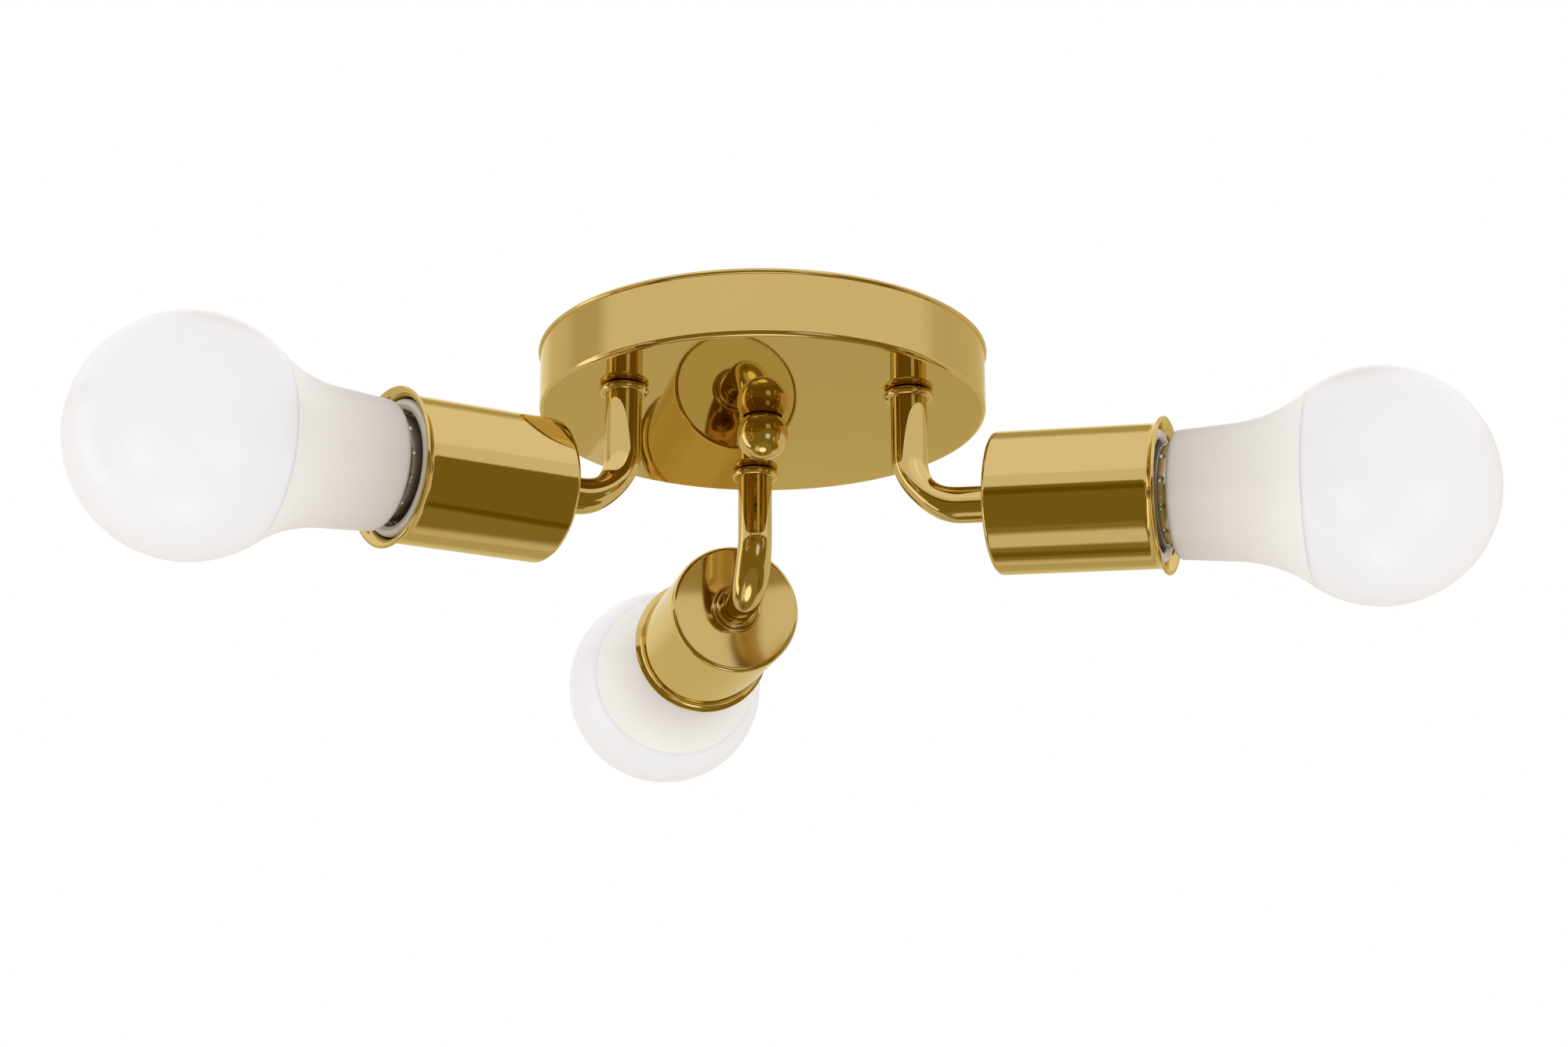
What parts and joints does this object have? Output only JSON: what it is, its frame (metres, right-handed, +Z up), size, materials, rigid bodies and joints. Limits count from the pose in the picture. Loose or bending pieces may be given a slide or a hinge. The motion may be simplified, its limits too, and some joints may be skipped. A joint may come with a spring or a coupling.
{
  "type": "semi flush ceiling light",
  "caption": "Semi flush ceiling light: a shallow round brass canopy with three bent tube arms, a brass cup on each and a round white bulb in each cup.",
  "frame": {"origin": "centre of the canopy's rim on the ceiling, which is the middle of the bracket's two screw slots", "axes": "+Z up into the ceiling, +Y towards the rear arm, +X to the right seen from in front"},
  "size_m": [0.3503, 0.3068, 0.0871],
  "materials": {
    "canopy_brass": "mirror-polished brass under clear lacquer",
    "arm_brass": "polished brass tube",
    "cup_brass": "polished brass",
    "trim_brass": "polished turned brass",
    "finial_brass": "polished turned brass",
    "holder_ivory": "moulded ivory, satin",
    "contact_brass": "plain pressed brass",
    "lead_insulation": "flexible sleeve, satin",
    "tip_tin": "soldered tin",
    "cap_glass": "black vitrite",
    "cap_nickel": "nickel plate",
    "bulb_neck_white": "moulded white, satin",
    "board_green": "circuit board",
    "board_aluminium": "white-coated aluminium board",
    "bulb_diffuser": "frosted white diffuser",
    "zinc_steel": "zinc-plated steel",
    "washer_fibre": "red-brown fibre",
    "block_plastic": "moulded white",
    "earth_green": "green screw",
    "earth_insulation": "green sleeve with tinned tags"
  },
  "bodies": {
    "fixture": {"canopy": "canopy_brass", "mounting_bracket": "zinc_steel", "stud": "zinc_steel", "stud_nut": "zinc_steel", "arm_nuts": "zinc_steel", "cup_nuts": "zinc_steel", "holder_rivets": "contact_brass", "terminal_block": "block_plastic", "terminal_screws": "zinc_steel", "earth_screw": "earth_green", "earth_lead": "earth_insulation", "arm_left": "arm_brass", "face_collar_left": "trim_brass", "cup_flange_left": "trim_brass", "cup_left": "cup_brass", "lampholder_left": "holder_ivory", "screw_shell_left": "contact_brass", "centre_contact_left": "contact_brass", "lead_wires_left": "lead_insulation", "arm_right": "arm_brass", "face_collar_right": "trim_brass", "cup_flange_right": "trim_brass", "cup_right": "cup_brass", "lampholder_right": "holder_ivory", "screw_shell_right": "contact_brass", "centre_contact_right": "contact_brass", "lead_wires_right": "lead_insulation", "arm_rear": "arm_brass", "face_collar_rear": "trim_brass", "cup_flange_rear": "trim_brass", "cup_rear": "cup_brass", "lampholder_rear": "holder_ivory", "screw_shell_rear": "contact_brass", "centre_contact_rear": "contact_brass", "lead_wires_rear": "lead_insulation"},
    "bulb_left_lift": {"bulb_tip_left": "tip_tin"},
    "bulb_left": {"bulb_insulator_left": "cap_glass", "bulb_screw_cap_left": "cap_nickel", "bulb_housing_left": "bulb_neck_white", "bulb_driver_left": "board_green", "bulb_led_board_left": "board_aluminium", "bulb_globe_left": "bulb_diffuser"},
    "bulb_right_lift": {"bulb_tip_right": "tip_tin"},
    "bulb_right": {"bulb_insulator_right": "cap_glass", "bulb_screw_cap_right": "cap_nickel", "bulb_housing_right": "bulb_neck_white", "bulb_driver_right": "board_green", "bulb_led_board_right": "board_aluminium", "bulb_globe_right": "bulb_diffuser"},
    "bulb_rear_lift": {"bulb_tip_rear": "tip_tin"},
    "bulb_rear": {"bulb_insulator_rear": "cap_glass", "bulb_screw_cap_rear": "cap_nickel", "bulb_housing_rear": "bulb_neck_white", "bulb_driver_rear": "board_green", "bulb_led_board_rear": "board_aluminium", "bulb_globe_rear": "bulb_diffuser"},
    "finial_lift": {"finial_washer": "washer_fibre"},
    "finial": {"finial_ball": "finial_brass"}
  },
  "joints": [
    {"name": "bulb_left_travel", "type": "slide", "parent": "fixture", "child": "bulb_left_lift", "axis": [-0.8495, -0.5247, -0.0558], "range_m": [0, 0.01088]},
    {"name": "bulb_left_turn", "type": "hinge", "parent": "bulb_left_lift", "child": "bulb_left", "pos_m": [-0.05724, -0.03384, -0.0515], "axis": [-0.8495, -0.5247, -0.0558], "range_deg": [0, 1080]},
    {"name": "bulb_right_travel", "type": "slide", "parent": "fixture", "child": "bulb_right_lift", "axis": [0.9333, -0.3545, -0.0576], "range_m": [0, 0.01088]},
    {"name": "bulb_right_turn", "type": "hinge", "parent": "bulb_right_lift", "child": "bulb_right", "pos_m": [0.05919, -0.02987, -0.0515], "axis": [0.9333, -0.3545, -0.0576], "range_deg": [0, 1080]},
    {"name": "bulb_rear_travel", "type": "slide", "parent": "fixture", "child": "bulb_rear_lift", "axis": [-0.189, 0.9814, 0.0332], "range_m": [0, 0.01088]},
    {"name": "bulb_rear_turn", "type": "hinge", "parent": "bulb_rear_lift", "child": "bulb_rear", "pos_m": [-0.00441, 0.06608, -0.0515], "axis": [-0.189, 0.9814, 0.0332], "range_deg": [0, 1080]},
    {"name": "finial_travel", "type": "slide", "parent": "fixture", "child": "finial_lift", "axis": [0, 0, -1], "range_m": [0, 0.006]},
    {"name": "finial_turn", "type": "hinge", "parent": "finial_lift", "child": "finial", "pos_m": [0, 0, -0.0229], "axis": [0, 0, -1], "range_deg": [0, 2160]}
  ],
  "couplings": [
    {"joint": "bulb_left_turn", "follows": "bulb_left_travel", "rad_per_m": 1731.6},
    {"joint": "bulb_right_turn", "follows": "bulb_right_travel", "rad_per_m": 1731.6},
    {"joint": "bulb_rear_turn", "follows": "bulb_rear_travel", "rad_per_m": 1731.6},
    {"joint": "finial_turn", "follows": "finial_travel", "rad_per_m": 6283.2}
  ]
}
